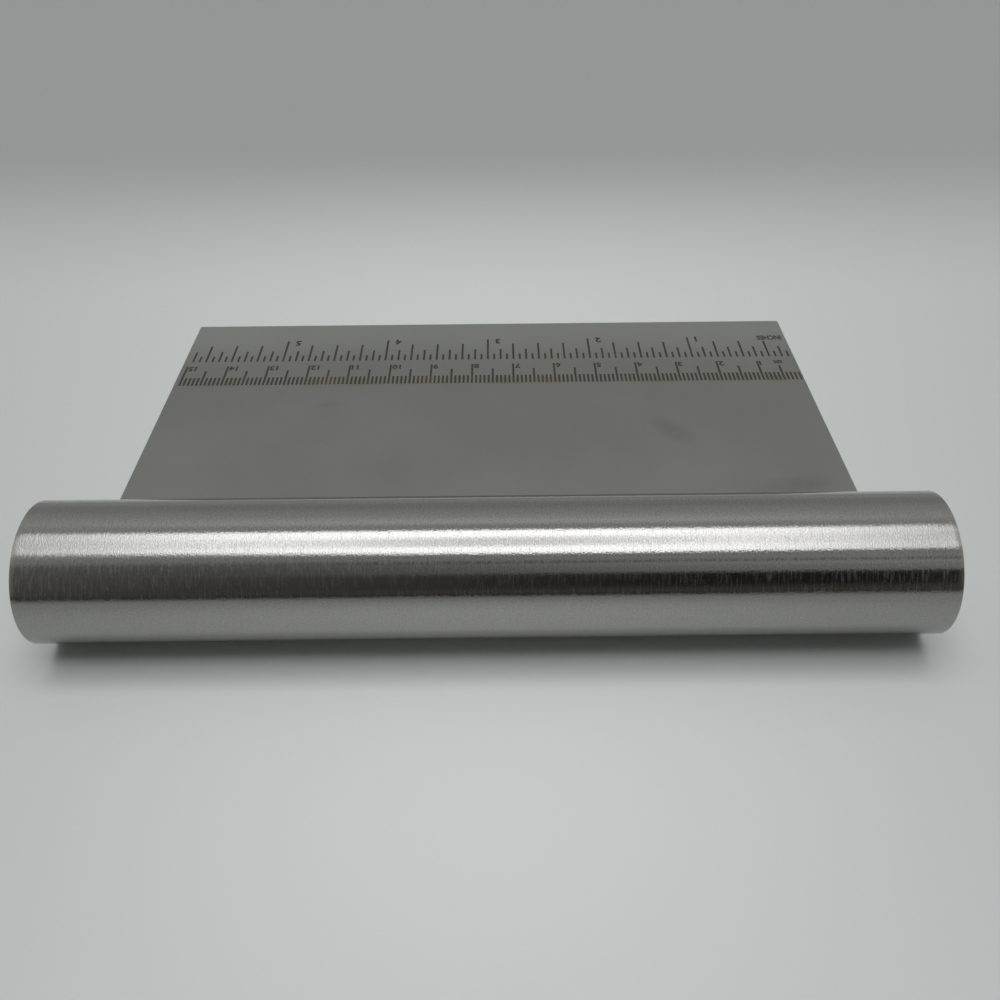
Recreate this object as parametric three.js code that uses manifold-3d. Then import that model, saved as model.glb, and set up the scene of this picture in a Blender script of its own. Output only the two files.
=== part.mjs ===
// A dough scraper: a flat sheet-steel blade with a round tube handle welded along its root.
// Sizes are in millimetres. X runs along the handle, Y from the handle to the scraping edge, Z up.
// The scraper lies flat on the table, with the origin under the middle of its outline.

import * as THREE from 'three';
import { mergeVertices } from 'three/addons/utils/BufferGeometryUtils.js';
import Module from 'manifold-3d';

const wasm = await Module();
wasm.setup();

// Overall size
const overallLength = 115; // front of the handle to the scraping edge

// Blade
const bladeWidth = 151; // room for a 150 mm ruler
const bladeThickness = 1;
const cornerRadius = 0.6; // at both ends of the scraping edge
const edgeThickness = 0.4; // sheet left at the scraping edge
const edgeBevelWidth = 2; // strip ground off the underside
const rootReach = 4.2; // from the handle's axis to the blade's root, out of sight under the tube

// Handle tube
const tubeDiameter = 24;
const tubeWall = 0.8;
const tubeEdgeChamfer = 0.3;

// End caps, drawn cups pressed into the tube
const capThickness = 0.8;
const capSkirtLength = 5;
const capEdgeChamfer = 0.4;
const capRecess = 0.5; // from the tube's end to the cap's face

// Weld beads in the two wedges between tube and blade
const rearSeamReach = 6; // from the handle's axis to the bead's toe on the blade
const seamCrown = 0.15; // bulge of the bead's face
const seamEndInset = 3; // bare metal at each end of a bead

// Clearance between neighbouring pieces
const fitGap = 0.3;

// Facets of round stretches
const tubeSegments = 72;
const cornerSegments = 6;
const seamSegments = 8;

// Cutters stand this far out of what they cut
const cutMargin = 1;

// Places worked out from the sizes above
const tubeRadius = tubeDiameter / 2;
const tubeLength = bladeWidth; // tube and blade are cut to the same width
const axisY = tubeRadius - overallLength / 2;
const axisZ = bladeThickness + fitGap + tubeRadius;
const rootY = axisY - rootReach;
const bladeLength = overallLength / 2 - rootY;

const materials = {
  satinSheet: new THREE.MeshStandardMaterial({ color: 0xa6a6a2, roughness: 0.42, metalness: 1 }),
  brushedTube: new THREE.MeshStandardMaterial({ color: 0xb4b4af, roughness: 0.3, metalness: 1 }),
  pressedCap: new THREE.MeshStandardMaterial({ color: 0xacaca8, roughness: 0.36, metalness: 1 }),
  weldMetal: new THREE.MeshStandardMaterial({ color: 0x8e8c87, roughness: 0.5, metalness: 1 }),
};

// A closed geometry as a solid that can be cut.
function toSolid(geometry) {
  const bare = geometry.clone();
  bare.deleteAttribute('normal');
  bare.deleteAttribute('uv');
  const merged = mergeVertices(bare);
  return new wasm.Manifold(
    new wasm.Mesh({
      numProp: 3,
      vertProperties: merged.getAttribute('position').array,
      triVerts: new Uint32Array(merged.index.array),
    }),
  );
}

// A cut solid as a geometry with flat-shaded faces.
function toGeometry(solid) {
  const { vertProperties, triVerts } = solid.getMesh();
  const shared = new THREE.BufferGeometry();
  shared.setAttribute('position', new THREE.BufferAttribute(vertProperties, 3));
  shared.setIndex(new THREE.BufferAttribute(triVerts, 1));
  const flat = shared.toNonIndexed();
  flat.computeVertexNormals();
  return flat;
}

// A section in the Y-Z plane, extruded along X and centred on X = 0.
function alongHandle(section, length) {
  const options = { depth: length, bevelEnabled: false, curveSegments: seamSegments };
  return new THREE.ExtrudeGeometry(section, options)
    .translate(0, 0, -length / 2)
    .rotateY(Math.PI / 2)
    .rotateX(Math.PI / 2);
}

// A profile of radius and height, turned about X, with its heights along +X.
function turned(profile) {
  const points = profile.map(([radius, height]) => new THREE.Vector2(radius, height));
  return new THREE.LatheGeometry(points, tubeSegments).rotateZ(-Math.PI / 2);
}

// The sheet seen from above: Y = 0 is its root, and the corners of the scraping edge are round.
function bladePlan() {
  const half = bladeWidth / 2;
  const arcX = half - cornerRadius;
  const arcY = bladeLength - cornerRadius;
  const plan = new THREE.Shape();
  plan.moveTo(-half, 0);
  plan.lineTo(half, 0);
  plan.absarc(arcX, arcY, cornerRadius, 0, Math.PI / 2, false);
  plan.absarc(-arcX, arcY, cornerRadius, Math.PI / 2, Math.PI, false);
  plan.closePath();
  return plan;
}

// What the grinder takes off below the scraping edge.
function edgeBevel() {
  const start = bladeLength - edgeBevelWidth;
  const end = bladeLength + cutMargin;
  const slope = (bladeThickness - edgeThickness) / edgeBevelWidth;
  const section = new THREE.Shape([
    new THREE.Vector2(start, 0),
    new THREE.Vector2(start, -cutMargin),
    new THREE.Vector2(end, -cutMargin),
    new THREE.Vector2(end, slope * (end - start)),
  ]);
  return alongHandle(section, bladeWidth + 2 * cutMargin);
}

function bladeGeometry() {
  const options = { depth: bladeThickness, bevelEnabled: false, curveSegments: cornerSegments };
  const sheet = new THREE.ExtrudeGeometry(bladePlan(), options);
  return toGeometry(toSolid(sheet).subtract(toSolid(edgeBevel())));
}

// A tube open at both ends, with its outer end edges broken.
function tubeGeometry() {
  const bore = tubeRadius - tubeWall;
  const end = tubeLength / 2;
  return turned([
    [bore, -end],
    [tubeRadius - tubeEdgeChamfer, -end],
    [tubeRadius, tubeEdgeChamfer - end],
    [tubeRadius, end - tubeEdgeChamfer],
    [tubeRadius - tubeEdgeChamfer, end],
    [bore, end],
    [bore, -end],
  ]);
}

// A cup whose flat face looks along +X from X = 0, with its skirt running back into the bore.
function capGeometry() {
  const radius = tubeRadius - tubeWall - fitGap;
  const inside = radius - capThickness;
  return turned([
    [0, -capThickness],
    [inside, -capThickness],
    [inside, -capSkirtLength],
    [radius, -capSkirtLength],
    [radius, -capEdgeChamfer],
    [radius - capEdgeChamfer, 0],
    [0, 0],
  ]);
}

// A bead on the +Y side of the handle's axis. It fills the wedge between tube and blade, and its crowned
// face runs from its toe on the blade square to the tube.
function seamGeometry(reach) {
  const seat = tubeRadius + fitGap;
  const tip = Math.sqrt(seat ** 2 - tubeRadius ** 2);
  const tipAngle = Math.atan2(-tubeRadius, tip);
  const toe = new THREE.Vector2(reach, -tubeRadius);
  const tubeToe = toe.clone().setLength(seat);
  const outward = new THREE.Vector2(-toe.y, toe.x).normalize();
  const crest = toe.clone().lerp(tubeToe, 0.5).addScaledVector(outward, 2 * seamCrown);

  const section = new THREE.Shape();
  section.moveTo(tip, -tubeRadius);
  section.lineTo(toe.x, toe.y);
  section.quadraticCurveTo(crest.x, crest.y, tubeToe.x, tubeToe.y);
  section.absarc(0, 0, seat, tubeToe.angle(), tipAngle, true);
  return alongHandle(section, bladeWidth - 2 * seamEndInset);
}

function piece(name, geometry, material) {
  const mesh = new THREE.Mesh(geometry, material);
  mesh.name = name;
  return mesh;
}

// The tube with its two caps and the beads below it, placed about the handle's axis.
function handleAssembly() {
  const capX = tubeLength / 2 - capRecess;
  const tube = piece('handle_tube', tubeGeometry(), materials.brushedTube);
  const rightCap = piece('end_cap_right', capGeometry(), materials.pressedCap);
  rightCap.position.x = capX;
  const leftCap = piece('end_cap_left', capGeometry(), materials.pressedCap);
  leftCap.position.x = -capX;
  leftCap.rotation.z = Math.PI;
  const rearSeam = piece('rear_weld_seam', seamGeometry(rearSeamReach), materials.weldMetal);
  const frontSeam = piece('front_weld_seam', seamGeometry(rootReach), materials.weldMetal);
  frontSeam.rotation.z = Math.PI;

  const handle = new THREE.Group();
  handle.position.set(0, axisY, axisZ);
  handle.add(tube, rightCap, leftCap, rearSeam, frontSeam);
  return handle;
}

const blade = piece('blade', bladeGeometry(), materials.satinSheet);
blade.position.y = rootY;

const doughScraper = new THREE.Group();
doughScraper.add(blade, handleAssembly());

export default doughScraper;
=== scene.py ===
"""Looks of a dough scraper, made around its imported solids.

The scraper is a satin sheet with an etched ruler, a brushed tube along the sheet's root, a pressed cup in
each end of the tube and two weld beads under it. Lengths are in metres, in the frame of the solids: +X along
the handle, +Y from the handle to the scraping edge, +Z up.
"""

import logging
import math
from collections.abc import Callable
from dataclasses import dataclass
from enum import Enum
from typing import Any

import bmesh
import bpy
from mathutils import Matrix, Vector


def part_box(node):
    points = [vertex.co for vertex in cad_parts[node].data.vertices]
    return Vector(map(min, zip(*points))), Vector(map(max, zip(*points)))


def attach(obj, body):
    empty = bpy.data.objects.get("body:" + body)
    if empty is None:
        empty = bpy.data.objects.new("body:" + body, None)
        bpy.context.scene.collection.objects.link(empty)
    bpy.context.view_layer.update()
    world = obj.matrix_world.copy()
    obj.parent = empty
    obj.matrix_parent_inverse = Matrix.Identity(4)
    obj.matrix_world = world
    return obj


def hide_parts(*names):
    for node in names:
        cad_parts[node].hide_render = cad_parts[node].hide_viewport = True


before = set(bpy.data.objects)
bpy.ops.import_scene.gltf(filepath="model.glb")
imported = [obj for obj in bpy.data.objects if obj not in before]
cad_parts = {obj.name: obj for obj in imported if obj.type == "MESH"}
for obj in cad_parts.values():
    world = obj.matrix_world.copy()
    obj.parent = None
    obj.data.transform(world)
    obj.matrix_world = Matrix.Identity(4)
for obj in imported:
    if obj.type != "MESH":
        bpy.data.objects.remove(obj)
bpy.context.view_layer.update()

log = logging.getLogger("dough_scraper")

MM = 0.001
HALF_TURN = 180  # degrees
BODY = "root"
BRUSH_MAP = "brush"  # UV map in millimetres, across the brush hairs and along them
WELD_DISTANCE = 0.0001 * MM
MIX_A, MIX_B, MIX_RESULT = 6, 7, 2  # colour sockets of a Mix node
SMOOTH = {"interpolation_type": "SMOOTHSTEP"}  # of a Map Range node

Colour = tuple[float, float, float, float]
Span = tuple[float, float]
Shape = bmesh.types.BMesh
Tree = bpy.types.NodeTree
Node = bpy.types.Node
Socket = bpy.types.NodeSocket


class End(Enum):
    """An end of the handle, valued by its direction along X."""

    LEFT = -1
    RIGHT = 1


class Flank(Enum):
    """A side of the line where tube and sheet meet, valued by its direction along Y."""

    REAR = 1
    FRONT = -1


def linear(hex_colour: str) -> Colour:
    """Turns an sRGB hex value into linear light.

    Args:
        hex_colour: The colour as "#rrggbb".

    Returns:
        Linear red, green and blue, and an alpha of 1.
    """
    shares = [int(hex_colour[start : start + 2], 16) / 255 for start in (1, 3, 5)]
    red, green, blue = (s / 12.92 if s <= 0.04045 else ((s + 0.055) / 1.055) ** 2.4 for s in shares)
    return red, green, blue, 1.0


def add_node(tree: Tree, kind: str, inputs: dict | tuple = (), **settings: Any) -> Node:
    """Adds a node with its settings and links.

    Args:
        tree: The node tree that gets the node.
        kind: The node's type, without the "ShaderNode" that Blender puts before it.
        inputs: What goes into the inputs, by name or number, or in their order: a value to set, an output to
            link, or a node whose first output to link.
        settings: The node's own properties. "stops" fills a colour ramp with (position, colour) pairs.

    Returns:
        The new node.
    """
    node = tree.nodes.new("ShaderNode" + kind)
    for position, colour in settings.pop("stops", ()):
        ramp = node.color_ramp.elements
        stop = ramp[0] if position == 0 else ramp[-1] if position == 1 else ramp.new(position)
        stop.color = colour
    for name, value in settings.items():
        setattr(node, name, value)
    for socket, value in inputs.items() if isinstance(inputs, dict) else enumerate(inputs):
        if isinstance(value, Node):
            value = value.outputs[0]
        if isinstance(value, Socket):
            tree.links.new(value, node.inputs[socket])
        else:
            node.inputs[socket].default_value = value
    return node


class Finish:
    """What every finish shares: a material whose surface is one Principled shader."""

    name: str

    def shader(self, tree: Tree) -> Node:
        """Adds the finish's nodes to a tree and returns its Principled shader."""
        raise NotImplementedError

    def material(self) -> bpy.types.Material:
        """Makes the material of this finish, or returns it if it is there already."""
        made = bpy.data.materials.get(self.name)
        if made is None:
            made = bpy.data.materials.new(self.name)
            made.use_nodes = True
            made.node_tree.nodes.clear()
            add_node(made.node_tree, "OutputMaterial", {"Surface": self.shader(made.node_tree)})
        return made


@dataclass(frozen=True)
class BrushedStainless(Finish):
    """Stainless tube, brushed round its circumference with a grit belt.

    To the eye the hairs smear each reflection along the tube and leave it crisp round it, so light and dark
    run along the handle as bands, and their borders and bright parts break into short hairs.
    """

    name: str = "brushed_stainless_tube"
    tone: str = "#999794"
    hair_tone: str = "#acaaa7"
    roughness: Span = (0.147, 0.245)  # of smooth places and of the roughest hairs
    rough_from: Span = (0.5, 0.72)  # depth of a hair between which it turns rough
    anisotropy: float = 1.0
    hair_width: float = 0.3  # mm along the tube, coarser than a real hair of 0.05 mm so that it shows
    hair_length: float = 2.6  # mm round the tube
    hair_depth: float = 0.003 * MM
    fleck_width: float = 0.2  # mm along the tube, again coarser than real
    fleck_length: float = 0.4  # mm round the tube
    fleck_depth: float = 0.011 * MM
    hair_share: float = 0.4  # how much hairs tint the tube, beside flecks
    tint_from: Span = (0.42, 0.98)  # sum of both between which the tone turns

    def shader(self, tree: Tree) -> Node:
        """Adds hairs that follow the brush map and returns the shader."""
        brush = add_node(tree, "UVMap", uv_map=BRUSH_MAP)
        tangent = add_node(tree, "Tangent", direction_type="UV_MAP", uv_map=BRUSH_MAP)
        noises = []
        for width, length, detail in (
            (self.hair_width, self.hair_length, 3.0),
            (self.fleck_width, self.fleck_length, 1.5),
        ):
            laid = add_node(tree, "Mapping", {"Vector": brush, "Scale": (1 / width, 1 / length, 1)})
            noise = {"Vector": laid, "Scale": 1.0, "Detail": detail}
            noises.append(add_node(tree, "TexNoise", noise, noise_dimensions="2D"))
        hairs, flecks = noises
        both = add_node(tree, "Math", (hairs, self.hair_share, flecks), operation="MULTIPLY_ADD")
        worn = add_node(tree, "MapRange", (both, *self.tint_from))
        tones = {0: worn, MIX_A: linear(self.tone), MIX_B: linear(self.hair_tone)}
        tone = add_node(tree, "Mix", tones, data_type="RGBA").outputs[MIX_RESULT]
        roughness = add_node(tree, "MapRange", (hairs, *self.rough_from, *self.roughness))
        hairy = add_node(tree, "Bump", {"Height": hairs, "Distance": self.hair_depth})
        bump = add_node(tree, "Bump", {"Height": flecks, "Distance": self.fleck_depth, "Normal": hairy})
        steel = {"Base Color": tone, "Metallic": 1.0, "Roughness": roughness, "Normal": bump}
        brushed = {"Anisotropic": self.anisotropy, "Tangent": tangent}
        return add_node(tree, "BsdfPrincipled", steel | brushed)


@dataclass(frozen=True)
class Smudge:
    """A handling mark on the sheet, with its place, half sizes and turn in millimetres and degrees."""

    x: float
    y: float
    half: Span
    turn: float
    strength: float


@dataclass(frozen=True)
class SatinSheet(Finish):
    """Cold-rolled stainless sheet with a satin finish.

    To the eye it is an even mid grey that mirrors nothing sharply, with cloudy patches from the rolling,
    faint lines along the sheet and a few greasy finger marks. Towards the ground edge painted light makes it
    a little lighter.
    """

    name: str = "satin_stainless_sheet"
    tone: str = "#959491"
    cloud_tone: str = "#9d9c99"
    edge_tone: str = "#abaaa7"
    smudge_tone: str = "#78746a"
    scorch_tone: str = "#867c56"
    roughness: Span = (0.33, 0.4)
    rough_from: Span = (0.3, 0.7)  # strength of a cloud between which the sheet turns rough
    cloud: float = 28.0  # mm across a patch
    line_width: float = 0.25  # mm, coarser than the rolling marks so that it shows close up
    line_length: float = 14.0  # mm along the sheet
    line_depth: float = 0.0006 * MM
    edge: Span = (36.0, 54.0)  # mm in Y over which painted light lightens the sheet
    scorch_y: Span = (29.6, 31.2)  # mm in Y between which the etching has tinted the sheet
    scorch_blur: float = 1.2  # mm
    scorch_patch: float = 9.0  # mm along the sheet
    scorch_from: Span = (0.4, 0.75)  # strength of a patch between which its tint sets in
    scorch: float = 0.6
    ridge: float = 2.0  # mm between a finger's ridges, coarser than real so that they show
    smudge_fade: Span = (1.0, 0.1)  # shares of a mark's half sizes between which it sets in
    smudge_depth: float = 1e6  # mm, so that a mark is the same through the sheet
    smudges: tuple[Smudge, ...] = (
        Smudge(41.0, 9.6, (9.0, 4.3), -47.0, 0.55),
        Smudge(-36.9, 20.9, (5.0, 1.8), 0.0, 0.35),
        Smudge(64.0, -10.0, (13.0, 4.0), 6.0, 0.6),
        Smudge(-20.0, -2.0, (9.0, 5.0), 60.0, 0.15),
    )

    def shader(self, tree: Tree) -> Node:
        """Adds clouds, rolling lines and finger marks and returns the shader."""
        spot = add_node(tree, "TexCoord").outputs["Object"]
        place = add_node(tree, "Mapping", {"Vector": spot, "Scale": (1 / MM, 1 / MM, 1 / MM)})
        axes = add_node(tree, "SeparateXYZ", (place,))
        line = (1 / self.line_length, 1 / self.line_width, 1)
        stretched = add_node(tree, "Mapping", {"Vector": place, "Scale": line})
        lines = add_node(tree, "TexNoise", {"Vector": stretched, "Scale": 1.0, "Detail": 2.0})
        noise = {"Vector": place, "Scale": 1 / self.cloud, "Detail": 4.0, "Roughness": 0.55}
        clouds = add_node(tree, "TexNoise", noise)
        stops = [(0, linear(self.tone)), (1, linear(self.cloud_tone))]
        tone = add_node(tree, "ValToRGB", {"Fac": clouds}, stops=stops).outputs["Color"]
        # painted light: the sheet's tone lightens towards the ground edge
        near_edge = add_node(tree, "MapRange", (axes.outputs["Y"], *self.edge), **SMOOTH)
        for share, other in (
            (near_edge, self.edge_tone),
            (self.scorching(tree, axes), self.scorch_tone),
            (self.marks(tree, place), self.smudge_tone),
        ):
            mixed = add_node(tree, "Mix", {0: share, MIX_A: tone, MIX_B: linear(other)}, data_type="RGBA")
            tone = mixed.outputs[MIX_RESULT]
        roughness = add_node(tree, "MapRange", (clouds, *self.rough_from, *self.roughness))
        bump = add_node(tree, "Bump", {"Height": lines, "Distance": self.line_depth})
        steel = {"Base Color": tone, "Metallic": 1.0, "Roughness": roughness, "Normal": bump}
        return add_node(tree, "BsdfPrincipled", steel)

    def scorching(self, tree: Tree, axes: Node) -> Node:
        """Adds the golden tint that the etching of the close millimetre ticks leaves between them.

        Args:
            tree: The material's tree.
            axes: A node that gives the place on the sheet in millimetres, axis by axis.

        Returns:
            A node that gives how strongly the sheet is tinted, from 0 to 1.
        """
        low, high = self.scorch_y
        rise, fall = (
            add_node(tree, "MapRange", (axes.outputs["Y"], *ends), **SMOOTH)
            for ends in ((low - self.scorch_blur, low), (high + self.scorch_blur, high))
        )
        along = add_node(tree, "Math", (axes.outputs["X"], self.scorch_patch), operation="DIVIDE")
        noise = {"W": along, "Scale": 1.0, "Detail": 2.0}
        patches = add_node(tree, "TexNoise", noise, noise_dimensions="1D")
        patchy = add_node(tree, "MapRange", (patches, *self.scorch_from, 0.0, self.scorch))
        band = add_node(tree, "Math", (rise, fall), operation="MULTIPLY")
        return add_node(tree, "Math", (band, patchy), operation="MULTIPLY")

    def marks(self, tree: Tree, place: Node) -> Node:
        """Adds the finger marks.

        Args:
            tree: The material's tree.
            place: A node whose vector is the place on the sheet in millimetres.

        Returns:
            A node that gives how strongly the sheet is marked, from 0 to 1.
        """
        ridges = add_node(tree, "TexNoise", {"Vector": place, "Scale": 1 / self.ridge, "Detail": 5.0})
        total: Node | float = 0.0
        for smudge in self.smudges:
            turn = (0, 0, math.radians(smudge.turn))
            laid = (place, (smudge.x, smudge.y, 0), turn, (*smudge.half, self.smudge_depth))
            local = add_node(tree, "Mapping", laid, vector_type="TEXTURE")
            away = add_node(tree, "VectorMath", (local,), operation="LENGTH").outputs["Value"]
            span = (away, *self.smudge_fade, 0.0, smudge.strength)
            fade = add_node(tree, "MapRange", span, **SMOOTH)
            total = add_node(tree, "Math", (fade, total), operation="ADD")
        return add_node(tree, "Math", (total, ridges), operation="MULTIPLY", use_clamp=True)


@dataclass(frozen=True)
class EtchedOxide(Finish):
    """The dark oxide film that electro-etching leaves on stainless steel.

    To the eye it is a matt olive black that turns golden brown in places, where the film is thinner.
    """

    name: str = "etched_oxide_film"
    tone: str = "#45433a"
    thin_tone: str = "#554c37"
    thin_from: Span = (0.48, 0.66)  # strength of a golden place between which its tone turns
    metallic: float = 0.6  # steel shows through the film
    roughness: float = 0.55
    patch: float = 9.0  # mm across a golden place

    def shader(self, tree: Tree) -> Node:
        """Adds the golden places and returns the shader."""
        spot = add_node(tree, "TexCoord").outputs["Object"]
        noise = {"Vector": spot, "Scale": 1 / (self.patch * MM), "Detail": 3.0}
        places = add_node(tree, "TexNoise", noise)
        thick, thin = linear(self.tone), linear(self.thin_tone)
        start, end = self.thin_from
        stops = [(0, thick), (start, thick), (end, thin), (1, thin)]
        tone = add_node(tree, "ValToRGB", {"Fac": places}, stops=stops)
        film = {"Base Color": tone, "Metallic": self.metallic, "Roughness": self.roughness}
        return add_node(tree, "BsdfPrincipled", film)


@dataclass(frozen=True)
class TurnedCup(Finish):
    """Drawn stainless cup whose face was finished while it turned.

    To the eye the fine rings fan each reflection out into two bright wedges across the disc.
    """

    name: str = "turned_stainless_cup"
    tone: str = "#a5a4a0"
    ring_tone: str = "#b9b8b3"
    roughness: float = 0.3
    anisotropy: float = 0.75
    ring: float = 0.22  # mm between rings, coarser than real so that they show close up
    ring_depth: float = 0.002 * MM

    def shader(self, tree: Tree) -> Node:
        """Adds rings that follow the brush map and returns the shader."""
        brush = add_node(tree, "UVMap", uv_map=BRUSH_MAP)
        tangent = add_node(tree, "Tangent", direction_type="UV_MAP", uv_map=BRUSH_MAP)
        out = add_node(tree, "SeparateXYZ", (brush,))
        count = add_node(tree, "Math", (out.outputs["X"], self.ring), operation="DIVIDE")
        noise = {"W": count, "Scale": 1.0, "Detail": 2.0}
        rings = add_node(tree, "TexNoise", noise, noise_dimensions="1D")
        stops = [(0, linear(self.tone)), (1, linear(self.ring_tone))]
        tone = add_node(tree, "ValToRGB", {"Fac": rings}, stops=stops)
        bump = add_node(tree, "Bump", {"Height": rings, "Distance": self.ring_depth})
        steel = {"Base Color": tone, "Metallic": 1.0, "Roughness": self.roughness, "Normal": bump}
        brushed = {"Anisotropic": self.anisotropy, "Tangent": tangent}
        return add_node(tree, "BsdfPrincipled", steel | brushed)


@dataclass(frozen=True)
class WeldMetal(Finish):
    """Stainless weld bead as it cooled, only wiped.

    To the eye it is greyer than the sheet, with straw and blue heat tints that drift along the bead.
    """

    name: str = "heat_tinted_weld"
    tone: str = "#8f8d88"
    straw: str = "#9c8b62"
    blue: str = "#6c6f80"
    untinted: Span = (0.42, 0.55)  # heat between which the bead keeps its own tone
    roughness: float = 0.3
    drift: float = 7.0  # mm along the bead from one tint to the next
    grain: float = 0.35  # mm
    grain_depth: float = 0.01 * MM

    def shader(self, tree: Tree) -> Node:
        """Adds heat tints and a cast grain and returns the shader."""
        spot = add_node(tree, "TexCoord").outputs["Object"]
        tints, grain = (
            add_node(tree, "TexNoise", {"Vector": spot, "Scale": 1 / (size * MM), "Detail": detail})
            for size, detail in ((self.drift, 3.0), (self.grain, 2.0))
        )
        plain = [(heat, linear(self.tone)) for heat in self.untinted]
        stops = [(0, linear(self.blue)), *plain, (1, linear(self.straw))]
        tone = add_node(tree, "ValToRGB", {"Fac": tints}, stops=stops)
        bump = add_node(tree, "Bump", {"Height": grain, "Distance": self.grain_depth})
        bead = {"Base Color": tone, "Metallic": 1.0, "Roughness": self.roughness, "Normal": bump}
        return add_node(tree, "BsdfPrincipled", bead)


@dataclass(frozen=True)
class BackdropPaper(Finish):
    """Matt backdrop paper whose tone is painted light and shade: painted shade darkens it away from the
    object and at its sides, outside a painted pool of light, and painted light lifts it just in front of the
    handle.

    The paper ends not far in front of the scraper. Only reflections show that, so that the background stays
    pale from every side.
    """

    name: str = "shaded_backdrop_paper"
    near_tone: str = "#ecefee"
    # painted light: the paper just in front of the handle is lighter
    front_tone: str = "#f3f6f5"
    # painted shade: the paper darkens to this tone at its sides, outside the painted pool of light
    rim_tone: str = "#d7dad8"
    far_tone: str = "#b5b7b5"
    open_tone: str = "#e4e7e6"
    end_tone: str = "#1c1a18"
    roughness: float = 0.95
    specular: float = 0.1
    fade: Span = (66.0, 196.0)  # mm in Y over which painted shade lowers the tone to the far one
    front: Span = (-55.0, -66.0)  # mm in Y over which painted light lifts the tone in front of the handle, sharpening the edge of its shadow
    open: Span = (-80.0, -150.0)  # mm in Y over which the tone turns even
    foot: Span = (-70.0, -125.0)  # mm in Y over which reflections of the paper sink, a painted shade
    foot_share: float = 0.82  # of the tone that is left there in reflections, as painted shade
    end: Span = (-120.0, -440.0)  # mm in Y over which reflections of the paper end
    pool: Span = (-110.0, 190.0)  # mm in Y between which the painted pool of light widens
    pool_half: Span = (101.0, 246.0)  # mm in X at those two places; outside it painted shade darkens the paper to the rim tone

    def shader(self, tree: Tree) -> Node:
        """Adds the painted light and shade of the tone and returns the shader."""
        spot = add_node(tree, "TexCoord").outputs["Object"]
        axes = add_node(tree, "SeparateXYZ", (spot,))
        pool = [length * MM for length in (*self.pool, *self.pool_half)]
        half = add_node(tree, "MapRange", (axes.outputs["Y"], *pool))
        sideways = add_node(tree, "Math", (axes.outputs["X"],), operation="ABSOLUTE")
        rim = add_node(tree, "MapRange", (sideways, 0.0, half), **SMOOTH)
        mirrored = add_node(tree, "LightPath").outputs["Is Glossy Ray"]
        far, front, outside, foot, ended = (
            add_node(
                tree,
                "MapRange",
                (axes.outputs["Y"], start * MM, end * MM, 0.0, most),
                interpolation_type=kind,
            )
            for (start, end), kind, most in (
                (self.fade, "SMOOTHSTEP", 1.0),
                (self.front, "SMOOTHSTEP", 1.0),
                (self.open, "SMOOTHSTEP", 1.0),
                (self.foot, "SMOOTHSTEP", mirrored),
                (self.end, "LINEAR", mirrored),
            )
        )
        tone: Colour | Socket = linear(self.near_tone)
        # painted light and shade: a lighter strip in front of the handle, a darker rim outside the pool of
        # light, a darker far end
        for share, other, blend in (
            (front, linear(self.front_tone), "MIX"),
            (rim, linear(self.rim_tone), "MIX"),
            (far, linear(self.far_tone), "MIX"),
            (outside, linear(self.open_tone), "MIX"),
            (foot, (self.foot_share,) * 3 + (1.0,), "MULTIPLY"),
            (ended, linear(self.end_tone), "MIX"),
        ):
            tones = {0: share, MIX_A: tone, MIX_B: other}
            mixed = add_node(tree, "Mix", tones, data_type="RGBA", blend_type=blend)
            tone = mixed.outputs[MIX_RESULT]
        paper = {"Base Color": tone, "Roughness": self.roughness, "Specular IOR Level": self.specular}
        return add_node(tree, "BsdfPrincipled", paper)


def seat_piece(name: str, shape: Shape, finish: Finish, node: str = "") -> None:
    """Turns a finished shape into a piece that rides on the scraper's one body.

    Args:
        name: The piece's name.
        shape: Its bmesh, in place, which is freed.
        finish: Its finish.
        node: The solid that it stands for, if any.
    """
    mesh = bpy.data.meshes.new(name)
    shape.to_mesh(mesh)
    shape.free()
    mesh.materials.append(finish.material())
    piece = bpy.data.objects.new(name, mesh)
    bpy.context.scene.collection.objects.link(piece)
    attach(piece, BODY)
    if node:
        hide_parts(node)
    log.info("%s: %d faces in %s", name, len(mesh.polygons), finish.name)


def turn_profile(profile: list[tuple[float, float]], centre: Vector, steps: int, closed: bool) -> Shape:
    """Spins a profile once round a line along X.

    Args:
        profile: Places along X, each with its radius.
        centre: A point on the line.
        steps: Facets of a full turn.
        closed: Whether the profile's last point joins its first.

    Returns:
        The turned shape, with its faces pointing outwards.
    """
    shape = bmesh.new()
    points = [shape.verts.new((x, centre.y, centre.z + radius)) for x, radius in profile]
    for start, end in zip(points, points[1:] + points[:1] if closed else points[1:]):
        shape.edges.new((start, end))
    bmesh.ops.spin(
        shape,
        geom=shape.verts[:] + shape.edges[:],
        cent=centre,
        axis=(1, 0, 0),
        dvec=(0, 0, 0),
        angle=math.tau,
        steps=steps,
        use_merge=True,
    )
    bmesh.ops.remove_doubles(shape, verts=shape.verts[:], dist=WELD_DISTANCE)
    bmesh.ops.recalc_face_normals(shape, faces=shape.faces[:])
    return shape


def round_rings(shape: Shape, centre: Vector, x: float, radius: float, size: float, segments: int) -> None:
    """Rounds the ring edge of a turned shape at one place along X and one radius.

    Args:
        shape: The turned shape.
        centre: A point on its axis.
        x: The ring's place along X.
        radius: The ring's radius.
        size: How far the rounding reaches.
        segments: Facets of the rounding.
    """

    def on_ring(vert: bmesh.types.BMVert) -> bool:
        """Tells whether a vertex lies on the ring."""
        reach = math.hypot(vert.co.y - centre.y, vert.co.z - centre.z)
        return abs(vert.co.x - x) < WELD_DISTANCE and abs(reach - radius) < WELD_DISTANCE

    ring = [edge for edge in shape.edges if all(on_ring(vert) for vert in edge.verts)]
    bmesh.ops.bevel(
        shape,
        geom=ring,
        offset=size,
        affect="EDGES",
        segments=segments,
        profile=0.5,
        material=-1,
        clamp_overlap=True,
    )


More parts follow.
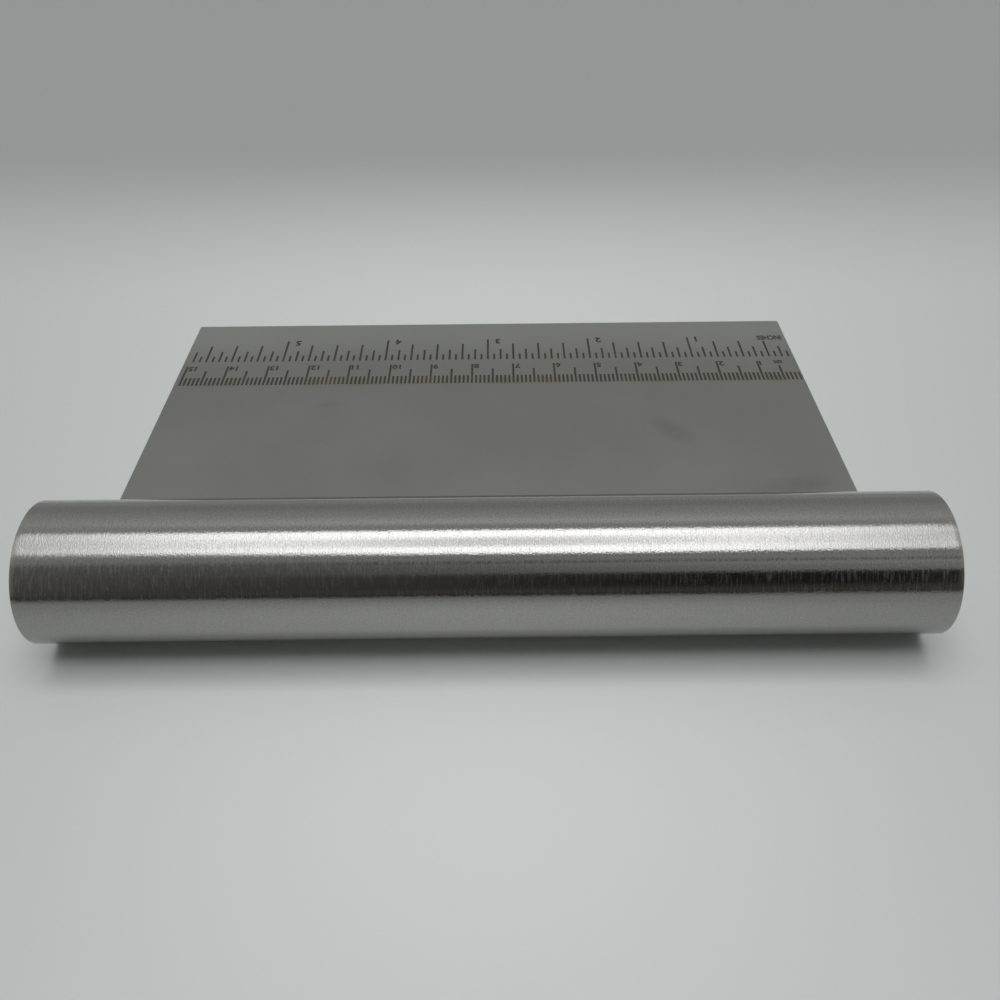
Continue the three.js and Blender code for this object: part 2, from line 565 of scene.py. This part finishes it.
def lay_brush_map(shape: Shape, centre: Vector, radius: float, across: Callable[[Vector], float]) -> None:
    """Shades a turned shape smoothly and gives it its brush map, whose seam lies at the bottom.

    Args:
        shape: The turned shape.
        centre: A point on its axis.
        radius: The radius at which the map's lengths round the axis are true.
        across: The length across the brush hairs at a point.
    """

    def turn_of(spot: Vector) -> float:
        """The angle round the axis, from the top."""
        return math.atan2(spot.y - centre.y, spot.z - centre.z)

    layer = shape.loops.layers.uv.new(BRUSH_MAP)
    for face in shape.faces:
        face.smooth = True
        facing = turn_of(face.calc_center_median())
        for loop in face.loops:
            turn = turn_of(loop.vert.co)
            turn += math.tau * round((facing - turn) / math.tau)
            loop[layer].uv = (across(loop.vert.co) / MM, turn * radius / MM)


@dataclass
class Handle:
    """The tube and the two cups that close it."""

    wall: float = 0.8 * MM
    rim_round: float = 0.15 * MM
    bore_round: float = 0.12 * MM
    support: float = 1.0 * MM  # from an end to the ring that keeps the tube's shading straight
    cup_thickness: float = 0.8 * MM
    cup_round: float = 0.7 * MM
    cup_clearance: float = 0.02 * MM
    steps: int = 256
    round_segments: int = 4

    def __post_init__(self) -> None:
        """Takes the tube's place and size from its solid."""
        low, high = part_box("handle_tube")
        self.centre = (low + high) / 2
        self.radius = (high.z - low.z) / 2
        self.half_length = (high.x - low.x) / 2
        self.bore = self.radius - self.wall

    def build(self) -> None:
        """Builds the tube and both cups."""
        self.build_tube()
        for end in End:
            self.build_cup(end)

    def build_tube(self) -> None:
        """Turns the tube and breaks the edges of its ends."""
        end, inner = self.half_length, self.half_length - self.support
        outside = [(x, self.radius) for x in (-end, -inner, inner, end)]
        inside = [(x, self.bore) for x in (end, inner, -inner, -end)]
        shape = turn_profile(outside + inside, self.centre, self.steps, closed=True)
        for x in (-end, end):
            round_rings(shape, self.centre, x, self.radius, self.rim_round, self.round_segments)
            round_rings(shape, self.centre, x, self.bore, self.bore_round, self.round_segments)
        lay_brush_map(shape, self.centre, self.radius, lambda spot: spot.x)
        seat_piece("brushed_tube", shape, BrushedStainless(), "handle_tube")

    def build_cup(self, end: End) -> None:
        """Turns a drawn cup whose face looks out of one end.

        Args:
            end: The end that the cup closes.
        """
        node = f"end_cap_{end.name.lower()}"
        low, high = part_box(node)
        face, back = (high.x, low.x) if end is End.RIGHT else (low.x, high.x)
        floor = face - end.value * self.cup_thickness
        outer = self.bore - self.cup_clearance
        inner = outer - self.cup_thickness
        profile = [(face, 0.0), (face, outer), (back, outer), (back, inner), (floor, inner), (floor, 0.0)]
        shape = turn_profile(profile, self.centre, self.steps, closed=False)
        round_rings(shape, self.centre, face, outer, self.cup_round, self.round_segments)

        def from_middle(spot: Vector) -> float:
            """The length over the cup's face and skirt from its middle."""
            reach = math.hypot(spot.y - self.centre.y, spot.z - self.centre.z)
            return reach + abs(spot.x - face)

        lay_brush_map(shape, self.centre, outer, from_middle)
        seat_piece(f"pressed_cup_{end.name.lower()}", shape, TurnedCup(), node)


@dataclass
class WeldBeads:
    """The two rippled beads between tube and sheet."""

    handle: Handle
    crown: float = 0.12 * MM
    ripple: float = 0.28 * MM  # height of a ripple over the crown
    pitch: float = 1.3 * MM  # from one ripple to the next
    lag: float = 0.45  # share of the pitch that a ripple's sides trail behind its middle
    sink: float = 0.05 * MM  # how deep the bead is fused into tube and sheet
    steps_per_ripple: int = 9
    face_points: int = 8
    seat_points: int = 6
    end_length: float = 2.0 * MM  # stretch in which a bead's ends taper
    end_share: float = 0.35  # section left at the very end

    def build(self) -> None:
        """Builds the beads on both flanks."""
        for flank in Flank:
            self.build_bead(flank)

    def build_bead(self, flank: Flank) -> None:
        """Extrudes a bead's section along the handle and ripples its face.

        Args:
            flank: The side of the handle that the bead lies on.
        """
        node = f"{flank.name.lower()}_weld_seam"
        low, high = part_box(node)
        axis = self.handle.centre
        reach = max(abs(low.y - axis.y), abs(high.y - axis.y))
        sheet_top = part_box("blade")[1].z
        toe = Vector((reach, sheet_top - axis.z))
        hold = toe.normalized() * (self.handle.radius - self.sink)
        toe.y -= self.sink
        outward = Vector((hold.y - toe.y, toe.x - hold.x)).normalized()

        face = [toe.lerp(hold, step / self.face_points) for step in range(self.face_points + 1)]
        hold_turn = math.atan2(hold.x, -hold.y)
        seat_turns = [hold_turn * (1 - step / self.seat_points) for step in range(1, self.seat_points + 1)]
        seat = [hold.length * Vector((math.sin(turn), -math.cos(turn))) for turn in seat_turns]
        section = [*face, *seat, Vector((0, toe.y))]

        shape = bmesh.new()
        start = Vector((low.x, axis.y, axis.z))
        points = [shape.verts.new(start + Vector((0, flank.value * p.x, p.y))) for p in section]
        end_face = shape.faces.new(points)
        steps = round((high.x - low.x) / self.pitch * self.steps_per_ripple)
        bmesh.ops.spin(
            shape,
            geom=[end_face, *end_face.edges, *end_face.verts],
            cent=start,
            axis=(1, 0, 0),
            dvec=((high.x - low.x) / steps, 0, 0),
            angle=0,
            steps=steps,
            use_merge=False,
        )
        for vert in shape.verts:
            spot = Vector((flank.value * (vert.co.y - axis.y), vert.co.z - axis.z))
            share = (spot - toe).dot(hold - toe) / (hold - toe).length_squared
            if abs((spot - toe).dot(outward)) < WELD_DISTANCE:
                spot += outward * self.height(vert.co.x, share)
            ends = max(0.0, min(vert.co.x - low.x, high.x - vert.co.x) / self.end_length)
            if ends < 1:
                tip = Vector((0, toe.y))
                round_off = math.sqrt(1 - (1 - ends) ** 2)
                spot = tip.lerp(spot, self.end_share + (1 - self.end_share) * round_off)
            vert.co = Vector((vert.co.x, axis.y + flank.value * spot.x, axis.z + spot.y))
        bmesh.ops.recalc_face_normals(shape, faces=shape.faces[:])
        for side in shape.faces:
            side.smooth = len(side.verts) == 4
        seat_piece(f"weld_bead_{flank.name.lower()}", shape, WeldMetal(), node)

    def height(self, x: float, share: float) -> float:
        """How far the bead's face bulges.

        Args:
            x: The place along the bead.
            share: The place across its face, from 0 at the sheet to 1 at the tube.

        Returns:
            The bulge over the flat face.
        """
        arch = 4 * share * (1 - share)
        phase = (x / self.pitch + self.lag * arch) % 1.0
        return arch * (self.crown + self.ripple * math.sqrt(1 - phase**2))


@dataclass
class Blade:
    """The sheet, ground at its scraping edge."""

    corner_round: float = 0.4 * MM
    edge_thickness: float = 0.4 * MM
    ground_strip: float = 2.0 * MM
    broken_edge: float = 0.06 * MM
    corner_segments: int = 6
    broken_segments: int = 2
    sharp_from: float = math.radians(45)  # turn between two faces from which their edge is broken
    flat_area: float = 20 * MM * MM  # faces larger than this are shaded flat

    def build(self) -> None:
        """Cuts the sheet from a block, grinds its underside and breaks its edges."""
        low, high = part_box("blade")
        shape = bmesh.new()
        block = Matrix.LocRotScale((low + high) / 2, None, high - low)
        bmesh.ops.create_cube(shape, size=1.0, matrix=block)
        corners = [
            edge for edge in shape.edges if all(abs(v.co.y - high.y) < WELD_DISTANCE for v in edge.verts)
        ]
        upright = [edge for edge in corners if abs(edge.verts[0].co.z - edge.verts[1].co.z) > WELD_DISTANCE]
        bmesh.ops.bevel(
            shape,
            geom=upright,
            offset=self.corner_round,
            affect="EDGES",
            segments=self.corner_segments,
            profile=0.5,
            material=-1,
        )
        strip_start = high.y - self.ground_strip
        bmesh.ops.bisect_plane(
            shape,
            geom=shape.verts[:] + shape.edges[:] + shape.faces[:],
            plane_co=(0, strip_start, 0),
            plane_no=(0, 1, 0),
        )
        slope = (high.z - low.z - self.edge_thickness) / self.ground_strip
        for vert in shape.verts:
            if vert.co.y > strip_start and vert.co.z < low.z + WELD_DISTANCE:
                vert.co.z += slope * (vert.co.y - strip_start)
        sharp = [edge for edge in shape.edges if edge.calc_face_angle(0.0) > self.sharp_from]
        bmesh.ops.bevel(
            shape,
            geom=sharp,
            offset=self.broken_edge,
            affect="EDGES",
            segments=self.broken_segments,
            profile=0.5,
            material=-1,
        )
        bmesh.ops.remove_doubles(shape, verts=shape.verts[:], dist=WELD_DISTANCE)
        bmesh.ops.recalc_face_normals(shape, faces=shape.faces[:])
        for face in shape.faces:
            face.smooth = face.calc_area() < self.flat_area
        seat_piece("satin_blade", shape, SatinSheet(), "blade")


@dataclass(frozen=True)
class TickRank:
    """Ticks of one length."""

    every: int  # steps of the scale from one such tick to the next
    end: float  # from the scraping edge to the tick's outer end


@dataclass(frozen=True)
class Lettering:
    """The size and place of some of a scale's letters."""

    height: float
    squeeze: float  # width as a share of the typeface's own
    foot: float  # from the scraping edge to the letters' feet


@dataclass(frozen=True)
class Scale:
    """One of the ruler's two scales, with its longest ticks first."""

    name: str
    unit: str
    step: float
    steps: int
    base: float  # from the scraping edge to the line that all ticks start from
    ranks: tuple[TickRank, ...]
    figures: Lettering
    figure_back: float  # from a tick back to the end of its figure
    units: Lettering
    unit_middle: float  # from the ruler's zero to the middle of the unit

    def end_of(self, count: int) -> float:
        """Where the tick of one step ends, measured from the scraping edge."""
        return next(rank.end for rank in self.ranks if count % rank.every == 0)


CENTIMETRES = Scale(
    name="centimetres",
    unit="cm",
    step=1.0 * MM,
    steps=150,
    base=27.9 * MM,
    ranks=(TickRank(10, 19.5 * MM), TickRank(5, 21.6 * MM), TickRank(1, 24.6 * MM)),
    figures=Lettering(2.0 * MM, 0.95, 19.5 * MM),
    figure_back=0.42 * MM,
    units=Lettering(1.4 * MM, 0.7, 19.2 * MM),
    unit_middle=4.9 * MM,
)

INCHES = Scale(
    name="inches",
    unit="INCHES",
    step=25.4 / 16 * MM,
    steps=94,
    base=17.4 * MM,
    ranks=(TickRank(16, 7.9 * MM), TickRank(4, 10.0 * MM), TickRank(2, 12.7 * MM), TickRank(1, 14.9 * MM)),
    figures=Lettering(2.4 * MM, 0.9, 7.6 * MM),
    figure_back=1.9 * MM,
    units=Lettering(2.1 * MM, 0.68, 7.4 * MM),
    unit_middle=4.5 * MM,
)


@dataclass
class Ruler:
    """The ruler etched on the sheet. It starts at the right edge and reads with the handle at the top."""

    scales: tuple[Scale, ...] = (CENTIMETRES, INCHES)
    zero_outside: float = 0.35 * MM  # from the sheet's edge out to the zero of both scales
    stroke: float = 0.5 * MM
    outline_steps: int = 3  # in each stretch of a letter's outline
    boldness: float = 0.04  # how far the letters' outlines are moved out, in letter sizes
    outline_weld: float = 0.001  # how close two points of an outline are one, in letter sizes
    film: float = 0.012 * MM  # height of the oxide film
    depth: float = 0.03 * MM  # of the film's root in the sheet

    def __post_init__(self) -> None:
        """Takes the ruler's zero and its reference edge from the sheet's solid."""
        _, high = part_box("blade")
        self.origin = Vector((high.x + self.zero_outside, high.y, high.z))

    def build(self) -> None:
        """Builds the ticks and the figures of both scales."""
        for scale in self.scales:
            self.build_ticks(scale)
            self.build_figures(scale)

    def build_ticks(self, scale: Scale) -> None:
        """Lays one scale's ticks.

        Args:
            scale: The scale to lay.
        """
        shape = bmesh.new()
        for count in range(1, scale.steps + 1):
            end = scale.end_of(count)
            middle = (scale.base + end) / 2
            size = Vector((self.stroke, scale.base - end, self.film + self.depth))
            rise = (self.film - self.depth) / 2
            place = self.origin + Vector((-count * scale.step, -middle, rise))
            bmesh.ops.create_cube(shape, size=1.0, matrix=Matrix.LocRotScale(place, None, size))
        seat_piece(f"ruler_ticks_{scale.name}", shape, EtchedOxide())

    def build_figures(self, scale: Scale) -> None:
        """Lays one scale's figures and its unit.

        Args:
            scale: The scale to lay.
        """
        shape = bmesh.new()
        every = scale.ranks[0].every
        for number in range(1, scale.steps // every + 1):
            end = number * every * scale.step - scale.figure_back
            self.add_text(shape, str(number), scale.figures, end, 1.0)
        self.add_text(shape, scale.unit, scale.units, scale.unit_middle, 0.5)
        seat_piece(f"ruler_figures_{scale.name}", shape, EtchedOxide())

    def add_text(self, shape: Shape, words: str, letters: Lettering, along: float, anchor: float) -> None:
        """Adds a word to a shape, as a film that stands on the sheet.

        Args:
            shape: The shape that gets the word.
            words: The word.
            letters: The size and place of its letters.
            along: From the ruler's zero to the word's anchor.
            anchor: The anchor's place in the word, from 0 at its start to 1 at its end.
        """
        curve = bpy.data.curves.new(words, "FONT")
        curve.body = words
        curve.resolution_u = self.outline_steps
        curve.offset = self.boldness
        source = bpy.data.objects.new(words, curve)
        bpy.context.scene.collection.objects.link(source)
        bpy.context.view_layer.update()
        outline = bpy.data.meshes.new_from_object(source.evaluated_get(bpy.context.evaluated_depsgraph_get()))
        bpy.data.objects.remove(source)
        bpy.data.curves.remove(curve)

        flat = bmesh.new()
        flat.from_mesh(outline)
        bpy.data.meshes.remove(outline)
        bmesh.ops.remove_doubles(flat, verts=flat.verts[:], dist=self.outline_weld)
        left, right = (pick(v.co.x for v in flat.verts) for pick in (min, max))
        bottom, top = (pick(v.co.y for v in flat.verts) for pick in (min, max))
        size = letters.height / (top - bottom)
        scaling = Matrix.Diagonal((size * letters.squeeze, size, size, 1.0))
        to_anchor = Matrix.Translation((-left - anchor * (right - left), -bottom, 0))
        upside_down = Matrix.Rotation(math.pi, 4, "Z")
        place = Matrix.Translation(self.origin + Vector((-along, -letters.foot, -self.depth)))
        bmesh.ops.transform(flat, matrix=place @ upside_down @ scaling @ to_anchor, verts=flat.verts[:])
        raised = bmesh.ops.extrude_face_region(flat, geom=flat.faces[:])["geom"]
        lifted = [item for item in raised if isinstance(item, bmesh.types.BMVert)]
        bmesh.ops.translate(flat, vec=(0, 0, self.film + self.depth), verts=lifted)
        bmesh.ops.recalc_face_normals(flat, faces=flat.faces[:])
        word = bpy.data.meshes.new(words)
        flat.to_mesh(word)
        flat.free()
        shape.from_mesh(word)
        bpy.data.meshes.remove(word)


@dataclass(frozen=True)
class PhotoCamera:
    """A camera at the photograph's viewpoint, with its framing."""

    place: tuple[float, float, float] = (1.9 * MM, -167.4 * MM, 131.4 * MM)
    pitch: float = 35.465  # degrees below the horizon
    yaw: float = -0.174
    roll: float = -0.514
    frame_px: float = 1000.0
    focal_px: float = 987.2
    axis_row_px: float = 416.3  # the row of the photograph that the lens axis meets
    sensor_mm: float = 36.0
    nearest: float = 5 * MM  # from where on the camera sees

    def build(self) -> None:
        """Makes the scene's camera."""
        data = bpy.data.cameras.new("photo_camera")
        data.sensor_width = self.sensor_mm
        data.lens = self.sensor_mm * self.focal_px / self.frame_px
        data.shift_y = self.axis_row_px / self.frame_px - 0.5
        data.clip_start = self.nearest
        camera = bpy.data.objects.new("photo_camera", data)
        turns = ((self.yaw, "Z"), (90 - self.pitch, "X"), (self.roll, "Z"))
        heading, tilt, roll = (Matrix.Rotation(math.radians(angle), 4, axis) for angle, axis in turns)
        camera.matrix_world = Matrix.Translation(self.place) @ heading @ tilt @ roll
        bpy.context.scene.collection.objects.link(camera)
        bpy.context.scene.camera = camera
        log.info("camera: %.2f mm lens", data.lens)


Stops = tuple[tuple[float, float], ...]
Tint = tuple[float, float, float]


@dataclass(frozen=True)
class PhotoTent:
    """A small photo tent: a square lamp overhead with a viewing hole, pale walls and a dark opening in front.

    The light comes from the world. Its level depends on the angle round the handle's direction, which is 0
    at the horizon in front, 90 overhead and 180 at the horizon behind, and on the share of the direction
    along X.
    """

    full: float = 3.5  # radiance that a ramp's 1 stands for
    room_left: Stops = ((0, 0.08), (14, 0.082), (26, 0.1))  # the room seen through the opening
    room_right: Stops = ((0, 0.08), (5, 0.06), (10, 0.02), (15, 0.0), (26, 0.0), (30, 0.02))
    flap_left: Stops = ((38, 0.105), (45, 0.12), (51, 0.17), (56, 0.32))  # the cloth that hangs over it
    flap_right: Stops = ((34, 0.29), (40, 0.3), (47.3, 0.44), (49.4, 0.08), (51.3, 0.34), (55.5, 0.38))
    walls: Stops = (
        (59.5, 0.3),
        (62, 0.35),
        (100, 0.4),
        (113, 0.42),  # back wall
        (130, 0.45),
        (145, 0.4),
        (157, 0.32),
        (170, 0.32),
        (180, 0.4),
    )
    lamp: Stops = (
        (0, 0.0),
        (62.6, 0.0),
        (63.8, 2.55),  # front row of diodes
        (70, 2.55),
        (77, 2.45),  # diffuser between the rows
        (90, 2.45),
        (97, 2.6),  # rear row
        (103.0, 2.65),
        (104.4, 0.0),
        (113, 0.0),
        (118, 0.21),  # its glow on the back wall
        (122, 0.2),
        (130, 0.06),
        (140, 0.0),
        (180, 0.0),
    )
    lamp_half: Span = (0.3, 0.4)  # shares of X between which the lamp ends
    lamp_spill: float = 0.1  # share of its light on the cloth beside it
    lamp_glare: float = 1.33  # how much more it lights matt things than metal shows, as photographs cut glare
    wall_glow: float = 0.55  # and how much weaker the cloth does
    lamp_bows: Span = (20.0, -34.0)  # degrees that its edges bow in, per square of the share of X
    bow_between: Span = (103.0, 68.0)  # degrees from the rear bow to the front one
    bow_middles: Span = (-0.06, 0.12)  # shares of X where the bows are least
    hole_angle: float = 83.0
    hole_reach: Span = (4.5, 11.5)  # degrees from the hole's middle over which it ends
    hole_depth: float = 0.7
    room_left_tint: Tint = (1.05, 1.0, 0.92)
    room_right_tint: Tint = (1.2, 0.98, 0.85)
    wall_tint: Tint = (1.0, 1.04, 1.005)
    lamp_tint: Tint = (1.0, 1.02, 1.03)
    side_wall: float = 0.13
    mirrored_side_wall: float = 0.6  # what metal shows of it, down to the floor
    side_from: Span = (0.5, 0.8)  # shares of X between which a side wall starts
    side_foot: Span = (30.0, 65.0)  # degrees between which a side wall starts over the opening
    half_turn_over: float = 0.3  # share of X over which the opening's left look turns into its right one
    # painted shade: the plain background behind is darker, standing for the back wall in less light
    backdrop_behind: str = "#989b98"
    backdrop_front: str = "#c4c9c7"
    behind_from: Span = (-0.3, 0.3)  # shares of Y between which the backdrop turns from one to the other
    floor_half: float = 20.0
    floor_drop: float = 0.02 * MM  # keeps the paper clear of the sheet's underside

    def build(self) -> None:
        """Lays the paper and lights the tent."""
        self.lay_paper()
        self.light()

    def lay_paper(self) -> None:
        """Lays the backdrop paper under the scraper."""
        shape = bmesh.new()
        bmesh.ops.create_grid(shape, x_segments=1, y_segments=1, size=self.floor_half)
        bmesh.ops.translate(shape, vec=(0, 0, -self.floor_drop), verts=shape.verts[:])
        mesh = bpy.data.meshes.new("backdrop")
        shape.to_mesh(mesh)
        shape.free()
        mesh.materials.append(BackdropPaper().material())
        floor = bpy.data.objects.new("backdrop", mesh)
        bpy.context.scene.collection.objects.link(floor)

    def levels(self, stops: Stops, tint: Tint) -> list[tuple[float, Colour]]:
        """Turns levels by angle into the stops of a ramp.

        Args:
            stops: Angles in degrees, each with its level.
            tint: The tint of the light.

        Returns:
            Positions from 0 in front to 1 behind, each with its tinted level.
        """
        return [
            (angle / HALF_TURN, (*(level * share / self.full for share in tint), 1.0))
            for angle, level in stops
        ]

    def light(self) -> None:
        """Makes the world that lights the scraper."""
        world = bpy.data.worlds.new("photo_tent")
        bpy.context.scene.world = world
        world.use_nodes = True
        tree = world.node_tree
        tree.nodes.clear()
        spot = add_node(tree, "TexCoord").outputs["Generated"]
        axes = add_node(tree, "SeparateXYZ", (spot,))
        tent = self.tent_colour(tree, spot, axes)
        behind = add_node(tree, "MapRange", (axes.outputs["Y"], *self.behind_from), **SMOOTH)
        tones = {0: behind, MIX_A: linear(self.backdrop_front), MIX_B: linear(self.backdrop_behind)}
        backdrop = add_node(tree, "Mix", tones, data_type="RGBA").outputs[MIX_RESULT]
        lamps = add_node(tree, "Background", {"Color": tent, "Strength": self.full})
        plain = add_node(tree, "Background", {"Color": backdrop})
        looked_at = add_node(tree, "LightPath").outputs["Is Camera Ray"]
        either = add_node(tree, "MixShader", (looked_at, lamps, plain))
        add_node(tree, "OutputWorld", {"Surface": either})

    def tent_colour(self, tree: Tree, spot: Socket, axes: Node) -> Socket:
        """Adds the tent's walls and its lamp.

        Args:
            tree: The world's tree.
            spot: An output that gives the direction.
            axes: A node that gives the direction's shares.

        Returns:
            The light from a direction, as a share of the full level.
        """
        ahead = add_node(tree, "Math", (axes.outputs["Y"], -1.0), operation="MULTIPLY")
        turn = add_node(tree, "Math", (axes.outputs["Z"], ahead), operation="ARCTAN2")
        share = add_node(tree, "Math", (turn, math.pi), operation="DIVIDE", use_clamp=True)
        sideways = add_node(tree, "Math", (axes.outputs["X"],), operation="ABSOLUTE")

        between, bows, side_ends = (
            [degrees / HALF_TURN for degrees in span]
            for span in (self.bow_between, self.lamp_bows, self.side_foot)
        )
        bow, bow_middle = (
            add_node(tree, "MapRange", (share, *between, *ends)) for ends in (bows, self.bow_middles)
        )
        off = add_node(tree, "Math", (axes.outputs["X"], bow_middle), operation="SUBTRACT")
        square = add_node(tree, "Math", (off, off), operation="MULTIPLY")
        bowed = add_node(tree, "Math", (square, bow, share), operation="MULTIPLY_ADD")

        rooms = (
            self.levels(self.room_left, self.room_left_tint),
            self.levels(self.room_right, self.room_right_tint),
        )
        walls = [self.levels(flap + self.walls, self.wall_tint) for flap in (self.flap_left, self.flap_right)]
        glare = [(angle, level * self.lamp_glare) for angle, level in self.lamp]
        left, right, lamp = (
            add_node(tree, "ValToRGB", {"Fac": angle}, stops=stops)
            for angle, stops in (
                (share, rooms[0] + walls[0]),
                (share, rooms[1] + walls[1]),
                (bowed, self.levels(glare, self.lamp_tint)),
            )
        )

        hole_turn = math.radians(self.hole_angle)
        hole = (0.0, -math.cos(hole_turn), math.sin(hole_turn))
        from_hole = add_node(tree, "VectorMath", (spot, hole), operation="DOT_PRODUCT").outputs["Value"]
        hole_ends = [math.cos(math.radians(angle)) for angle in self.hole_reach]
        to_right, in_lamp, past_hole, at_side, over_foot = (
            add_node(tree, "MapRange", (value, *ends, low), **SMOOTH)
            for value, ends, low in (
                (axes.outputs["X"], (-self.half_turn_over, self.half_turn_over), 0.0),
                (sideways, reversed(self.lamp_half), self.lamp_spill),
                (from_hole, hole_ends, 1.0 - self.hole_depth),
                (sideways, self.side_from, 0.0),
                (share, side_ends, 0.0),
            )
        )

        mirrored = add_node(tree, "LightPath").outputs["Is Glossy Ray"]
        lamp_share, wall_share = (
            add_node(tree, "MapRange", {"Value": mirrored, "To Min": matt, "To Max": metal})
            for matt, metal in ((1.0, 1 / self.lamp_glare), (self.wall_glow, 1.0))
        )
        open_lamp = add_node(tree, "Math", (in_lamp, past_hole), operation="MULTIPLY")
        lit = add_node(tree, "Math", (open_lamp, lamp_share), operation="MULTIPLY")
        shown = add_node(tree, "Math", (over_foot, mirrored), operation="MAXIMUM")
        side_share = add_node(tree, "Math", (at_side, shown), operation="MULTIPLY")
        plain, bright = (
            self.levels(((0, level),), self.wall_tint)[0][1]
            for level in (self.side_wall, self.mirrored_side_wall)
        )
        side = add_node(tree, "Mix", {0: mirrored, MIX_A: plain, MIX_B: bright}, data_type="RGBA")

        tent: Node | Socket = left
        for part, other, blend in (
            (to_right, right, "MIX"),
            (1.0, wall_share, "MULTIPLY"),
            (lit, lamp, "ADD"),
            (side_share, side.outputs[MIX_RESULT], "MIX"),
        ):
            tones = {0: part, MIX_A: tent, MIX_B: other}
            tent = add_node(tree, "Mix", tones, data_type="RGBA", blend_type=blend).outputs[MIX_RESULT]
        return tent


def main() -> None:
    """Builds the camera, the tent and the scraper, in that order."""
    logging.basicConfig(level=logging.INFO, format="%(name)s %(message)s")
    PhotoCamera().build()
    PhotoTent().build()
    handle = Handle()
    handle.build()
    Blade().build()
    WeldBeads(handle).build()
    Ruler().build()
    bpy.context.scene.view_settings.view_transform = "Standard"


if __name__ == "__main__":
    main()
